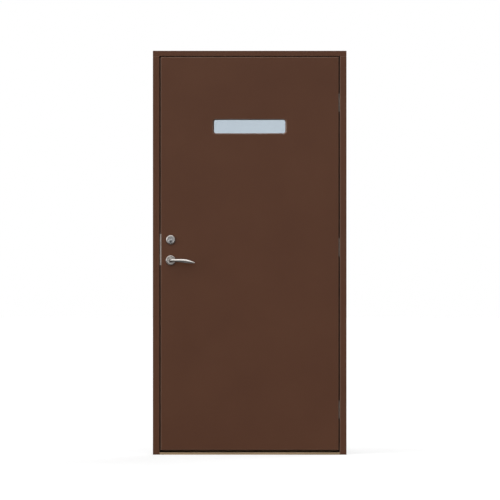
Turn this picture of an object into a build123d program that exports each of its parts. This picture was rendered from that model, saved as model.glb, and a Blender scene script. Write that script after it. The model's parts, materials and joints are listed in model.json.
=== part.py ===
from build123d import *
from math import cos, radians, sin
import os

# An exterior door set with a flush leaf, a narrow glazed slot and concealed hinges.
# It is drawn closed. X runs to the right seen from the pull side, Y runs from the pull side
# to the push side, and Z runs up from the floor. Lengths are in millimetres.

# Frame of painted timber
frame_width = 990.0
frame_height = 2065.0
frame_depth = 105.0
jamb_face = 34.0
head_face = 28.5
stop_projection = 13.0
inner_arris = 4.0
outer_arris = 1.5
joint_arris = 1.2
back_arris = 3.0

# Leaf and the gaps round it
leaf_thickness = 62.0
side_gap = 6.0
top_gap = 3.5
leaf_bottom = 23.0
seal_gap = 6.0
skin = 4.0
leaf_arris = 3.6
stile_width = 66.0
top_rail_height = 60.0
bottom_rail_height = 100.0
lock_block_width = 60.0
lock_block_height = 400.0

# Oak threshold
threshold_lip = 11.0
threshold_rise = 2.5
threshold_upstand = 36.0
threshold_arris = 3.0

# Rubber seals
seal_inset = 8.5
seal_width = 6.0
seal_bore = 1.7
seal_stem = 2.6
seal_stem_depth = 5.5
seal_free_gap = 0.3
seal_groove_clearance = 0.1

# Glazed slot
window_below_head = 387.0
lip_width = 380.0
lip_height = 79.0
lip_radius = 15.8
reveal_width = 378.4
reveal_height = 77.4
reveal_radius = 15.0
sight_width = 364.0
sight_height = 68.0
sight_radius = 10.5
lining_width = 396.0
lining_height = 100.0
lining_timber = 30.0
glazing_frame_clearance = 1.0
unit_clearance = 4.0
pane = 4.0
pane_spacing = 12.0
spacer_width = 10.0
tape = 1.0
tape_width = 9.0
inner_flange_cover = 14.0
inner_flange = 3.0
inner_flange_radius = 16.0
setting_block_length = 60.0
setting_block_offset = 120.0

# Lock and furniture positions
backset = 51.0
handle_height = 994.0
lock_centres = 105.0
plug_drop = 9.5

# Mortise lock
forend = 3.0
forend_width = 22.0
forend_length = 235.0
forend_above_handle = 52.5
case_depth = 72.0
case_thickness = 16.0
case_below_handle = 30.0
case_above_handle = 135.0
case_wall = 1.5
mortise_clearance = 0.5
latch_rise = 16.0
latch_height = 20.0
bolt_thickness = 12.0
bolt_clearance = 0.3
latch_throw = 12.0
latch_nose = 2.5
latch_head = 28.0
tail_thickness = 3.0
latch_tail_height = 8.0
latch_tail_rise = 19.0
deadbolt_throw = 20.0
deadbolt_drop = 3.5
deadbolt_height = 32.0
deadbolt_head = 22.5
tail_top_drop = 7.0
tail_bottom_drop = 19.4
follower_hub = 9.5
follower_journal = 8.0
follower_arm = 19.0
arm_half_width = 2.5
arm_lost_motion = 0.45
lug_length = 5.5
lug_base_rise = 12.5
cam_hub = 9.0
cam_journal = 6.5
cam_pin = 2.5
cam_arm_half_width = 4.0
cam_layer = 4.0
layer_gap = 0.5
pin_slot_clearance = 0.65
hole_end_clearance = 0.6
turn_clearance = 0.05
square_clearance = 0.05

# Spindle, levers and rosettes
spindle_side = 8.0
spindle_bore = 8.0
spindle_end_depth = 25.0
socket_end_gap = 1.5
rosette_radius = 24.5
rosette_depth = 8.0
rosette_base = 2.0
rosette_rim = 2.4
rosette_wall = 3.5
dish_depth = 3.6
neck_radius = 9.0
neck_clearance = 0.4
neck_gap = 0.3
neck_straight = 23.0
neck_taper = 8.0
shank_radius = 7.4
bend_radius = 15.0
lever_reach = 52.0
rosette_screw_spread = 19.0
lever_flats = 12
# Lever sections as distance from the axis, drop of the middle, height and depth
lever_sections = [
    (15.0, 0.2, 14.9, 14.6),
    (30.0, 0.6, 14.6, 13.0),
    (52.0, 1.8, 17.4, 11.8),
    (76.0, 4.1, 20.2, 10.4),
    (98.0, 8.0, 15.6, 8.6),
    (114.0, 11.2, 8.6, 6.2),
    (123.5, 13.1, 3.6, 3.0),
    (126.0, 13.6, 1.2, 1.0),
]

# Cylinder and thumb turn
ring_radius = 24.0
ring_depth = 11.0
ring_rim = 3.0
ring_slope = 7.0
ring_drop = 2.0
housing_radius = 15.5
housing_recess = 1.8
collar_radius = 10.5
collar_depth = 12.6
collar_round = 1.2
housing_gap = 0.2
housing_body_width = 22.0
housing_body_rise = 15.0
housing_face_depth = 10.0
plug_radius = 6.6
plug_proud = 0.6
plug_length = 16.0
plug_end_gap = 0.3
keyway_width = 2.4
keyway_height = 8.6
keyway_depth = 9.0
keyway_groove = 1.2
plug_tail = 2.5
plug_tail_gap = 0.8
cylinder_screw_spread = 7.5
cylinder_screw_rise = 13.5
turn_rosette_depth = 7.0
turn_shaft = 6.0
turn_square = 5.0
turn_knob_length = 34.0
turn_knob_width = 11.0
turn_knob_depth = 13.0
turn_knob_gap = 0.4
turn_knob_round = 2.0

# Guard plate on the front corner of the leaf edge, beside the lock
guard_height = 159.5
guard_above_handle = 54.5
guard_proud = 3.5
guard_cover = 3.7
guard_thickness = 3.0
guard_depth = 18.0
guard_screw_inset = 18.0
guard_round = 1.0

# Strike plate
strike_below_handle = 47.5
strike_above_handle = 152.5
strike_thickness = 3.0
strike_back = -3.0
strike_edge_round = 1.5
strike_window_clearance = 0.6
bolt_pocket_depth = 22.0

# Concealed hinges
axis_inset = 22.0
axis_setback = 14.0
hinge_above_floor = 230.0
hinge_middle_rise = 830.0
hinge_below_head = 265.0
pin_radius = 3.5
pin_clearance = 0.06
knuckle_radius = 7.0
knuckle_end_gap = 0.15
cavity_front = 8.0
cavity_back = 36.0
cavity_behind = 9.0
box_wall = 2.0
box_end_wall = 4.0
box_half_height = 50.0
hinge_flange = 3.0
flange_half_height = 68.0
arm_root_angle = 80.0
arm_root_near = 7.0
arm_root_far = 2.0
arm_inner_radius = 25.8
arm_outer_radius = 34.0
arm_arc_end = 135.0
arm_bar_thickness = 8.0
arm_plate = 4.0
arm_plate_front = 6.0
arm_plate_back = 38.0
arm_plate_half_height = 65.0
hinge_screw_rise = 58.0
box_screw_back = 14.0
arm_screw_back = 22.0

# Screws and fixings
wood_screw_shank = 2.0
wood_screw_head = 4.2
wood_screw_length = 26.0
machine_screw_shank = 2.0
machine_screw_head = 4.0
machine_screw_head_depth = 2.5
screw_bore_clearance = 0.4
frame_screw_shank = 2.5
frame_screw_head = 5.0
frame_screw_length = 70.0
frame_screw_depths = (-30.0, 34.0)
threshold_screw_depths = (-22.0, 34.0)
threshold_screw_height = 8.0
glazing_screw_spread = 130.0
glazing_screw_length = 18.0
forend_screw_inset = 12.0
strike_screw_inset = 12.0
sleeve_radius = 7.0
sleeve_bore = 4.0
sleeve_recess = 2.0
sleeve_depth = 4.0
fixing_above_floor = 160.0
fixing_below_head = 105.0
fixing_spacing = 600.0
hinge_side_drop = 20.0

# Planes and lines that follow from the values above
half_width = frame_width / 2
front = -frame_depth / 2
back = frame_depth / 2
rebate = half_width - jamb_face
stop = rebate - stop_projection
head_under = frame_height - head_face
head_stop_under = head_under - stop_projection
leaf_edge = rebate - side_gap
leaf_top = head_under - top_gap
leaf_back = front + leaf_thickness
leaf_middle = front + leaf_thickness / 2
stop_face = leaf_back + seal_gap
skin_back = front + skin
inner_skin_front = leaf_back - skin
threshold_back = threshold_lip + threshold_rise
seal_line = rebate - seal_inset
head_seal_line = head_under - seal_inset
threshold_seal_line = threshold_upstand - seal_inset + seal_width / 3
window_height_on_leaf = frame_height - window_below_head
hinge_heights = (hinge_above_floor, hinge_above_floor + hinge_middle_rise, frame_height - hinge_below_head)
latch_side_fixings = (fixing_above_floor, fixing_above_floor + fixing_spacing,
                      frame_height - fixing_below_head - fixing_spacing, frame_height - fixing_below_head)
hinge_side_fixings = [height - hinge_side_drop for height in latch_side_fixings]
lock_x = -leaf_edge + backset
case_bottom = handle_height - case_below_handle
case_top = handle_height + case_above_handle
forend_centre = handle_height + forend_above_handle
guard_centre = handle_height + guard_above_handle
strike_bottom = handle_height - strike_below_handle
strike_top = handle_height + strike_above_handle
cylinder_height = handle_height + lock_centres
plug_height = cylinder_height - plug_drop
case_face = -leaf_edge + forend
case_front = leaf_middle - case_thickness / 2
case_rear = leaf_middle + case_thickness / 2
bolt_front = leaf_middle - bolt_thickness / 2
bolt_back = leaf_middle + bolt_thickness / 2
layer_front = bolt_front + tail_thickness + layer_gap
latch_middle = handle_height + latch_rise
deadbolt_middle = plug_height - deadbolt_drop
pin_reach = deadbolt_throw / 2
axis_x = rebate + axis_inset
axis_y = front + axis_setback
unit_thickness = 3 * pane + 2 * pane_spacing
unit_front = leaf_middle - unit_thickness / 2
unit_back = leaf_middle + unit_thickness / 2
unit_width = lining_width - 2 * unit_clearance
unit_height = lining_height - 2 * unit_clearance


def block(x0, x1, y0, y1, z0, z1):
    """A box given by its limits."""
    return Pos((x0 + x1) / 2, (y0 + y1) / 2, (z0 + z1) / 2) * Box(x1 - x0, y1 - y0, z1 - z0)


def rod_x(radius, y, z, x0, x1):
    """A round rod lying along X."""
    return Pos((x0 + x1) / 2, y, z) * Rot(0, 90, 0) * Cylinder(radius, x1 - x0)


def rod_y(radius, x, z, y0, y1):
    """A round rod lying along Y."""
    return Pos(x, (y0 + y1) / 2, z) * Rot(90, 0, 0) * Cylinder(radius, y1 - y0)


def rod_z(radius, x, y, z0, z1):
    """A round rod standing along Z."""
    return Pos(x, y, (z0 + z1) / 2) * Cylinder(radius, z1 - z0)


def prism_x(outline, x0, x1):
    """A moulding along X with its outline given as depth and height."""
    face = Plane.YZ.offset(x0) * make_face(Polyline(*outline, close=True))
    return extrude(face, x1 - x0, dir=(1, 0, 0))


def prism_z(outline, z0, z1):
    """A moulding along Z with its outline given in plan."""
    face = Plane.XY.offset(z0) * make_face(Polyline(*outline, close=True))
    return extrude(face, z1 - z0, dir=(0, 0, 1))


def plate_y(sketch, x, z, y0, y1):
    """A plate facing the front, cut to a sketch that is centred at x and z."""
    upright = Plane(origin=(x, y0, z), x_dir=(1, 0, 0), z_dir=(0, -1, 0))
    return extrude(upright * sketch, y1 - y0, dir=(0, 1, 0))


def turned_y(outline, x, z):
    """A turned piece about an axis along Y, its outline given as radius and depth."""
    profile = make_face(Polyline(*outline, close=True))
    return Pos(x, 0, z) * revolve(profile, Axis.Y)


def joined(shapes):
    """Several solids that share one node."""
    total = shapes[0]
    for shape in shapes[1:]:
        total = total + shape
    return total


def countersunk(place, shank, head, length):
    """A countersunk screw with its head flush in the plane of place and its shank behind."""
    sink = head - shank
    cone = Pos(0, 0, -sink / 2) * Cone(shank, head, sink)
    rod = Pos(0, 0, -(sink + length) / 2) * Cylinder(shank, length - sink)
    return place * (cone + rod)


def wood_screw(origin, outward, length=wood_screw_length):
    """A wood screw driven into a face that looks outward."""
    return countersunk(Plane(origin=origin, z_dir=outward), wood_screw_shank, wood_screw_head, length)


# Screws are drawn first, since the pieces they hold are cut to them.


def strike_screw_set():
    """Two screws that hold the strike plate."""
    heights = (strike_bottom + strike_screw_inset, strike_top - strike_screw_inset)
    return joined([wood_screw((-rebate, leaf_middle, z), (1, 0, 0)) for z in heights])


def edge_screw_set():
    """Two screws that hold the forend of the lock, and two that hold the guard plate."""
    half = forend_length / 2 - forend_screw_inset
    screws = [wood_screw((-leaf_edge, leaf_middle, forend_centre + way * half), (-1, 0, 0))
              for way in (-1, 1)]
    rise = guard_height / 2 - guard_screw_inset
    middle = (front + guard_thickness + front + guard_depth) / 2
    screws += [wood_screw((-leaf_edge - guard_proud, middle, guard_centre + way * rise), (-1, 0, 0))
               for way in (-1, 1)]
    return joined(screws)


def hinge_box_screw_set():
    """Two screws for each hinge box, through its flange."""
    places = [(z + way * hinge_screw_rise) for z in hinge_heights for way in (-1, 1)]
    return joined([wood_screw((rebate, axis_y + box_screw_back, z), (-1, 0, 0)) for z in places])


def hinge_arm_screw_set():
    """Two screws for each hinge arm, through its plate."""
    places = [(z + way * hinge_screw_rise) for z in hinge_heights for way in (-1, 1)]
    return joined([wood_screw((leaf_edge, axis_y + arm_screw_back, z), (1, 0, 0)) for z in places])


def frame_screw_set():
    """Long screws that draw the head onto the jambs and the jambs onto the threshold."""
    middle = half_width - jamb_face / 2
    screws = []
    for side in (-1, 1):
        for y in frame_screw_depths:
            top = Plane(origin=(side * middle, y, frame_height), z_dir=(0, 0, 1))
            screws.append(countersunk(top, frame_screw_shank, frame_screw_head, frame_screw_length))
        for y in threshold_screw_depths:
            foot = Plane(origin=(side * half_width, y, threshold_screw_height), z_dir=(side, 0, 0))
            screws.append(countersunk(foot, frame_screw_shank, frame_screw_head, frame_screw_length))
    return joined(screws)


def glazing_screw_set():
    """Screws through the inner glazing frame into the window lining."""
    middle = lining_height / 2 + inner_flange_cover / 2
    screws = []
    for across in (-1, 0, 1):
        for way in (-1, 1):
            origin = (across * glazing_screw_spread, leaf_back + inner_flange,
                      window_height_on_leaf + way * middle)
            screws.append(wood_screw(origin, (0, 1, 0), glazing_screw_length))
    return joined(screws)


def through_screw(x, z, head_face_y, end_y, clearance=0.0):
    """A pan-head screw along Y, or the bore for it when a clearance is given."""
    shank = rod_y(machine_screw_shank + clearance, x, z, end_y, head_face_y)
    head = rod_y(machine_screw_head + clearance, x, z,
                 head_face_y, head_face_y + machine_screw_head_depth + clearance)
    return shank + head


rosette_seat = leaf_back + rosette_base
turn_seat = leaf_back + turn_rosette_depth - machine_screw_head_depth
rosette_screw_xs = [lock_x - rosette_screw_spread, lock_x + rosette_screw_spread]
cylinder_screw_xs = [lock_x - cylinder_screw_spread, lock_x + cylinder_screw_spread]
cylinder_screw_height = plug_height + cylinder_screw_rise
rosette_screw_end = front - rosette_base / 2
cylinder_screw_end = front + housing_face_depth


def rosette_screw_set():
    """Two screws that draw the inner and outer lever rosettes together."""
    return joined([through_screw(x, handle_height, rosette_seat, rosette_screw_end)
                   for x in rosette_screw_xs])


def cylinder_screw_set():
    """Two screws that draw the thumb-turn rosette and the cylinder together."""
    return joined([through_screw(x, cylinder_screw_height, turn_seat, cylinder_screw_end)
                   for x in cylinder_screw_xs])


strike_screws = strike_screw_set()
edge_screws = edge_screw_set()
hinge_box_screws = hinge_box_screw_set()
hinge_arm_screws = hinge_arm_screw_set()
frame_screws = frame_screw_set()
glazing_frame_screws = glazing_screw_set()
rosette_screws = rosette_screw_set()
cylinder_screws = cylinder_screw_set()


# Frame


def seal_groove(line_x=None, line_z=None):
    """The slot a seal stem is pushed into, along a jamb stop or along a stop that lies in X."""
    half = seal_stem / 2 + seal_groove_clearance
    depth = seal_stem_depth + seal_groove_clearance
    if line_x is None:
        return block(-seal_line - seal_width / 2, seal_line + seal_width / 2,
                     stop_face, stop_face + depth, line_z - half, line_z + half)
    return block(line_x - half, line_x + half, stop_face, stop_face + depth,
                 threshold_back, head_stop_under)


def sleeve_rows(side):
    """The heights of the frame fixings in one jamb."""
    return latch_side_fixings if side < 0 else hinge_side_fixings


def frame_head():
    """The head, whose section runs over the tops of both jambs."""
    outline = [(front, head_under), (stop_face, head_under), (stop_face, head_stop_under),
               (back, head_stop_under), (back, frame_height), (front, frame_height)]
    head = prism_x(outline, -half_width, half_width)
    long_edges = head.edges().filter_by(Axis.X)
    top_front = long_edges.group_by(Axis.Y)[0].sort_by(Axis.Z)[-1]
    stop_back = long_edges.group_by(Axis.Y)[-1].sort_by(Axis.Z)[0]
    head = fillet([top_front], outer_arris)
    head = fillet([head.edges().filter_by(Axis.X).sort_by_distance(stop_back.center())[0]], back_arris)
    corner = block(-rebate, rebate, front, front + inner_arris, head_under, head_under + inner_arris)
    round_over = rod_x(inner_arris, front + inner_arris, head_under + inner_arris, -rebate, rebate)
    head = head - (corner - round_over)
    return head - seal_groove(line_z=head_seal_line) - frame_screws


def jamb(side):
    """One jamb, coped round the section of the head."""
    outline = [(side * half_width, front), (side * rebate, front), (side * rebate, stop_face),
               (side * stop, stop_face), (side * stop, back), (side * half_width, back)]
    post = prism_z(outline, 0, head_under)
    uprights = post.edges().filter_by(Axis.Z)
    inner_front = uprights.sort_by_distance((side * rebate, front, head_under / 2))[0]
    outer_front = uprights.sort_by_distance((side * half_width, front, head_under / 2))[0]
    stop_back = uprights.sort_by_distance((side * stop, back, head_under / 2))[0]
    post = fillet([inner_front], inner_arris)
    outer_edge = post.edges().filter_by(Axis.Z).sort_by_distance(outer_front.center())[0]
    post = fillet([outer_edge], outer_arris)
    back_edge = post.edges().filter_by(Axis.Z).sort_by_distance(stop_back.center())[0]
    post = fillet([back_edge], back_arris)
    cope = block(-half_width, half_width, stop_face, back, head_stop_under, head_under)
    post = post - cope - seal_groove(line_x=side * seal_line) - frame_screws
    top_edge = post.edges().filter_by(Axis.X).sort_by_distance((side * half_width, front, head_under))[0]
    post = chamfer([top_edge], joint_arris)
    for z in sleeve_rows(side):
        post = post - rod_x(sleeve_radius, sleeve_depth, z, *sorted((side * half_width, side * rebate)))
    return post


def planted_stop(post, side):
    """Parts the stop from its jamb, because it is a strip that is pinned on along the rebate."""
    strip = block(*sorted((side * stop, side * rebate)), stop_face, back, 0, head_under)
    return Compound((post - strip).solids() + (post & strip).solids())


def latch_jamb():
    """The jamb on the lock side, with the strike recess and two bolt pockets."""
    post = jamb(-1)
    seat = block(-rebate - strike_thickness, -rebate, front + inner_arris, strike_back,
                 strike_bottom, strike_top)
    post = post - seat - strike_screws
    for middle, height in ((latch_middle, latch_height), (deadbolt_middle, deadbolt_height)):
        half = height / 2 + strike_window_clearance + bolt_clearance
        post = post - block(-rebate - bolt_pocket_depth, -rebate,
                            bolt_front - strike_window_clearance - bolt_clearance,
                            bolt_back + strike_window_clearance + bolt_clearance,
                            middle - half, middle + half)
    return planted_stop(post, -1)


def hinge_jamb():
    """The jamb on the hinge side, with a mortise for each hinge box."""
    post = jamb(1)
    for z in hinge_heights:
        post = post - hinge_box_body(z)
    return planted_stop(post - hinge_box_screws, 1)


def threshold():
    """The oak threshold, with a sloping tread and an upstand, notched round the jamb stops."""
    outline = [(front, 0), (back, 0), (back, threshold_upstand), (stop_face, threshold_upstand),
               (stop_face, threshold_back), (front, threshold_lip)]
    sill = prism_x(outline, -rebate, rebate)
    long_edges = sill.edges().filter_by(Axis.X)
    lip_edge = long_edges.group_by(Axis.Y)[0].sort_by(Axis.Z)[-1]
    rear_edge = long_edges.group_by(Axis.Y)[-1].sort_by(Axis.Z)[-1]
    sill = fillet([lip_edge, rear_edge], threshold_arris)
    for side in (-1, 1):
        sill = sill - block(*sorted((side * stop, side * rebate)), stop_face, back, 0, threshold_upstand)
    return sill - seal_groove(line_z=threshold_seal_line) - frame_screws


def seal_sketch():
    """The hollow head of a seal, drawn with its flat back on the axis and its crown upwards."""
    crown = seal_width / 2
    body = seal_gap - seal_free_gap - crown
    head = Pos(0, body / 2) * Rectangle(seal_width, body) + Pos(0, body) * Circle(crown)
    above_back = Pos(0, seal_gap / 2) * Rectangle(seal_width, seal_gap)
    return (head & above_back) - Pos(0, body) * Circle(seal_bore)


def jamb_seal(side):
    """The seal in one jamb stop, from the threshold up to the head seal."""
    place = Plane(origin=(side * seal_line, stop_face, threshold_back), x_dir=(-1, 0, 0), z_dir=(0, 0, 1))
    top = head_seal_line - seal_width / 2
    head = extrude(place * seal_sketch(), top - threshold_back, dir=(0, 0, 1))
    stem = block(side * seal_line - seal_stem / 2, side * seal_line + seal_stem / 2,
                 stop_face, stop_face + seal_stem_depth, threshold_back, head_stop_under)
    return head + stem


def cross_seal(height, half_span, half_stem):
    """A seal along X, in the head stop or in the threshold upstand."""
    place = Plane(origin=(-half_span, stop_face, height), x_dir=(0, 0, 1), z_dir=(1, 0, 0))
    head = extrude(place * seal_sketch(), 2 * half_span, dir=(1, 0, 0))
    stem = block(-half_stem, half_stem, stop_face, stop_face + seal_stem_depth,
                 height - seal_stem / 2, height + seal_stem / 2)
    return head + stem


def strike_plate():
    """A thick strike plate let into the rebate, its front edge eased for the latch."""
    plate = block(-rebate - strike_thickness, -rebate, front + inner_arris, strike_back,
                  strike_bottom, strike_top)
    lead = plate.edges().filter_by(Axis.Z).sort_by_distance((-rebate, front, latch_middle))[0]
    plate = fillet([lead], strike_edge_round)
    for middle, height in ((latch_middle, latch_height), (deadbolt_middle, deadbolt_height)):
        half = height / 2 + strike_window_clearance
        plate = plate - block(-rebate - strike_thickness, -rebate, bolt_front - strike_window_clearance,
                              bolt_back + strike_window_clearance, middle - half, middle + half)
    return plate - strike_screws


def fixing_sleeves():
    """Steel tubes through the jambs, for the bolts that hold the frame in a wall."""
    tubes = []
    for side in (-1, 1):
        limits = sorted((side * half_width, side * (rebate + sleeve_recess)))
        for z in sleeve_rows(side):
            tubes.append(rod_x(sleeve_radius, sleeve_depth, z, *limits)
                         - rod_x(sleeve_bore, sleeve_depth, z, *limits))
    return joined(tubes)


# Concealed hinges


def hinge_box_body(z):
    """The outside of a hinge box, which is also its mortise."""
    body = block(rebate, half_width, axis_y - cavity_front - box_wall, axis_y + cavity_back + box_wall,
                 z - box_half_height, z + box_half_height)
    flange = block(rebate, rebate + hinge_flange, axis_y - cavity_front - box_wall,
                   axis_y + cavity_back + box_wall, z - flange_half_height, z + flange_half_height)
    return body + flange


def hinge_box(z):
    """A steel box set in the jamb, open to the rebate, which carries the pin at both ends."""
    inside = box_half_height - box_end_wall
    cavity = block(rebate, axis_x + cavity_behind, axis_y - cavity_front, axis_y + cavity_back,
                   z - inside, z + inside)
    return hinge_box_body(z) - cavity - hinge_pin(z) - hinge_box_screws


def hinge_pin(z):
    """The pin, pressed into both ends of the box."""
    return rod_z(pin_radius, axis_x, axis_y, z - box_half_height, z + box_half_height)


def hinge_arm_plan():
    """The plan of an arm about the hinge axis: knuckle, root bar, hook and straight bar."""
    root_width = arm_root_near + arm_root_far
    root = Pos(arm_outer_radius / 2, (arm_root_near - arm_root_far) / 2)
    root_bar = Rot(0, 0, arm_root_angle) * root * Rectangle(arm_outer_radius, root_width)
    reach = 2 * arm_outer_radius
    wedge_angles = (arm_root_angle, (arm_root_angle + arm_arc_end) / 2, arm_arc_end)
    wedge_points = [(reach * cos(radians(a)), reach * sin(radians(a))) for a in wedge_angles]
    wedge = make_face(Polyline((0, 0), *wedge_points, close=True))
    hook = (Circle(arm_outer_radius) - Circle(arm_inner_radius)) & wedge
    bar_start = arm_inner_radius * sin(radians(arm_arc_end))
    bar_end = axis_inset + side_gap
    bar = Pos(-(bar_start + bar_end) / 2, bar_start + arm_bar_thickness / 2)
    straight = bar * Rectangle(bar_end - bar_start, arm_bar_thickness)
    bored = Circle(knuckle_radius) + (root_bar & Circle(arm_outer_radius)) + hook + straight
    return bored - Circle(pin_radius + pin_clearance)


def hinge_arm(z):
    """A cast arm that turns on the pin, hooks round the jamb edge and carries the leaf."""
    half = box_half_height - box_end_wall - knuckle_end_gap
    arm = Pos(axis_x, axis_y, z - half) * extrude(hinge_arm_plan(), 2 * half)
    plate = block(leaf_edge - arm_plate, leaf_edge, axis_y + arm_plate_front, axis_y + arm_plate_back,
                  z - arm_plate_half_height, z + arm_plate_half_height)
    return arm + plate - hinge_arm_screws


def hinge_arm_mortise(z):
    """The recess for the plate of an arm in the edge of the leaf."""
    return block(leaf_edge - arm_plate, leaf_edge, axis_y + arm_plate_front, axis_y + arm_plate_back,
                 z - arm_plate_half_height, z + arm_plate_half_height)


# Leaf


def furniture_bores():
    """Every bore across the leaf for the spindle, the cylinder, the thumb turn and the screws."""
    bores = rod_y(spindle_bore, lock_x, handle_height, front, leaf_back)
    bores = bores + rod_y(turn_shaft, lock_x, plug_height, leaf_middle, leaf_back)
    for x in rosette_screw_xs:
        bores = bores + rod_y(machine_screw_shank + screw_bore_clearance, x, handle_height,
                              front, leaf_back)
    for x in cylinder_screw_xs:
        bores = bores + rod_y(machine_screw_shank + screw_bore_clearance, x, cylinder_screw_height,
                              cylinder_screw_end, leaf_back)
    return bores


def housing_body_sketch(extra=0.0):
    """The oval body of the cylinder, upright, drawn about the middle of the ring."""
    radius = housing_body_width / 2
    upper = housing_body_rise - radius
    oval = SlotCenterToCenter(upper + plug_drop, 2 * (radius + extra))
    return Pos(0, (upper - plug_drop) / 2) * Rot(0, 0, 90) * oval


def cylinder_bore():
    """The hole through the leaf for the oval body of the cylinder."""
    return plate_y(housing_body_sketch(mortise_clearance), lock_x, cylinder_height, front, case_front)


def lock_mortise():
    """The slot in the stile and the lock block for the case and the forend."""
    pocket = block(-leaf_edge, case_face + case_depth + mortise_clearance,
                   case_front - mortise_clearance, case_rear + mortise_clearance,
                   case_bottom - mortise_clearance, case_top + mortise_clearance)
    return pocket + forend_body()


def forend_body():
    """The blank of the forend, a flat bar with round ends."""
    face = Plane(origin=(-leaf_edge, leaf_middle, forend_centre), x_dir=(0, 0, 1), z_dir=(1, 0, 0))
    return extrude(face * SlotOverall(forend_length, forend_width), forend, dir=(1, 0, 0))


def window_rounded(width, height, radius, y0, y1):
    """A plate with rounded corners, centred on the glazed slot."""
    return plate_y(RectangleRounded(width, height, radius), 0, window_height_on_leaf, y0, y1)


def window_square(width, height, y0, y1):
    """A plate with square corners, centred on the glazed slot."""
    return plate_y(Rectangle(width, height), 0, window_height_on_leaf, y0, y1)


def edge_guard():
    """An angle of thick steel on the front corner of the leaf edge, which shields the bolts."""
    z0 = guard_centre - guard_height / 2
    z1 = guard_centre + guard_height / 2
    outer = -leaf_edge - guard_proud
    angle = block(outer, -leaf_edge, front, front + guard_depth, z0, z1)
    angle = angle + block(-leaf_edge, -leaf_edge + guard_cover, front, front + guard_thickness, z0, z1)
    corner = angle.edges().filter_by(Axis.Z).sort_by_distance((outer, front, guard_centre))[0]
    return fillet([corner], guard_round) - edge_screws


def guard_seat():
    """The step in the corner of the leaf for the front leg of the guard plate."""
    return block(-leaf_edge, -leaf_edge + guard_cover, front, front + guard_thickness,
                 guard_centre - guard_height / 2, guard_centre + guard_height / 2)


def outer_skin():
    """The front skin, with rounded arrises and an opening for the lip of the glazing frame."""
    sheet = block(-leaf_edge, leaf_edge, front, skin_back, leaf_bottom, leaf_top)
    sheet = fillet(sheet.faces().sort_by(Axis.Y)[0].edges(), leaf_arris)
    sheet = sheet - window_rounded(lip_width, lip_height, lip_radius, front, skin_back)
    return sheet - furniture_bores() - cylinder_bore() - guard_seat()


def inner_skin():
    """The back skin, open to the full size of the window lining."""
    sheet = block(-leaf_edge, leaf_edge, inner_skin_front, leaf_back, leaf_bottom, leaf_top)
    sheet = sheet - window_square(lining_width, lining_height, inner_skin_front, leaf_back)
    return sheet - furniture_bores() - glazing_frame_screws


def latch_stile():
    """The stile on the lock side, glued up from three plies so that it stays straight."""
    post = block(-leaf_edge, -leaf_edge + stile_width, skin_back, inner_skin_front, leaf_bottom, leaf_top)
    post = post - lock_mortise() - furniture_bores() - cylinder_bore() - edge_screws
    middle_front = case_front - mortise_clearance
    middle_back = case_rear + mortise_clearance
    plies = []
    for y0, y1 in ((skin_back, middle_front), (middle_front, middle_back), (middle_back, inner_skin_front)):
        plies += (post & block(-leaf_edge, -leaf_edge + stile_width, y0, y1, leaf_bottom, leaf_top)).solids()
    return Compound(plies)


def lock_block():
    """The block that backs the stile round the lock."""
    inner = -leaf_edge + stile_width
    blank = block(inner, inner + lock_block_width, skin_back, inner_skin_front,
                  forend_centre - lock_block_height / 2, forend_centre + lock_block_height / 2)
    return blank - lock_mortise() - furniture_bores() - cylinder_bore()


def hinge_stile():
    """The stile on the hinge side, recessed for the arm plates."""
    post = block(leaf_edge - stile_width, leaf_edge, skin_back, inner_skin_front, leaf_bottom, leaf_top)
    for z in hinge_heights:
        post = post - hinge_arm_mortise(z)
    return post - hinge_arm_screws


def leaf_rail(z0, z1):
    """A rail between the stiles."""
    half = leaf_edge - stile_width
    return block(-half, half, skin_back, inner_skin_front, z0, z1)


def window_lining():
    """Two rails and two posts round the glazed slot."""
    half_x = lining_width / 2
    half_z = lining_height / 2
    far_x = half_x + lining_timber
    far_z = half_z + lining_timber
    pieces = []
    for way in (-1, 1):
        z0, z1 = sorted((way * half_z, way * far_z))
        x0, x1 = sorted((way * half_x, way * far_x))
        pieces.append(block(-far_x, far_x, skin_back, inner_skin_front,
                            window_height_on_leaf + z0, window_height_on_leaf + z1))
        pieces.append(block(x0, x1, skin_back, inner_skin_front,
                            window_height_on_leaf - half_z, window_height_on_leaf + half_z))
    return joined(pieces) - glazing_frame_screws


def insulation_core():
    """The foam slab between the rails and stiles, cut round the lock block and the window."""
    half = leaf_edge - stile_width
    slab = block(-half, half, skin_back, inner_skin_front,
                 leaf_bottom + bottom_rail_height, leaf_top - top_rail_height)
    slab = slab - block(-half, -half + lock_block_width, skin_back, inner_skin_front,
                        forend_centre - lock_block_height / 2, forend_centre + lock_block_height / 2)
    return slab - window_square(lining_width + 2 * lining_timber, lining_height + 2 * lining_timber,
                                skin_back, inner_skin_front)


# Glazed slot


def reveal_cut(y_wide, y_narrow):
    """The splayed reveal between the face and the glass."""
    def outline(width, height, radius, y):
        upright = Plane(origin=(0, y, window_height_on_leaf), x_dir=(1, 0, 0), z_dir=(0, -1, 0))
        return upright * RectangleRounded(width, height, radius)
    wide = outline(reveal_width, reveal_height, reveal_radius, y_wide)
    narrow = outline(sight_width, sight_height, sight_radius, y_narrow)
    return loft([wide, narrow])


def outer_glazing_frame():
    """The front glazing frame, whose lip fills the opening in the skin and slopes to the glass."""
    lip = window_rounded(lip_width, lip_height, lip_radius, front, skin_back)
    ring = window_square(lining_width - 2 * glazing_frame_clearance,
                         lining_height - 2 * glazing_frame_clearance, skin_back, unit_front - tape)
    return lip + ring - reveal_cut(front, unit_front - tape)


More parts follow.
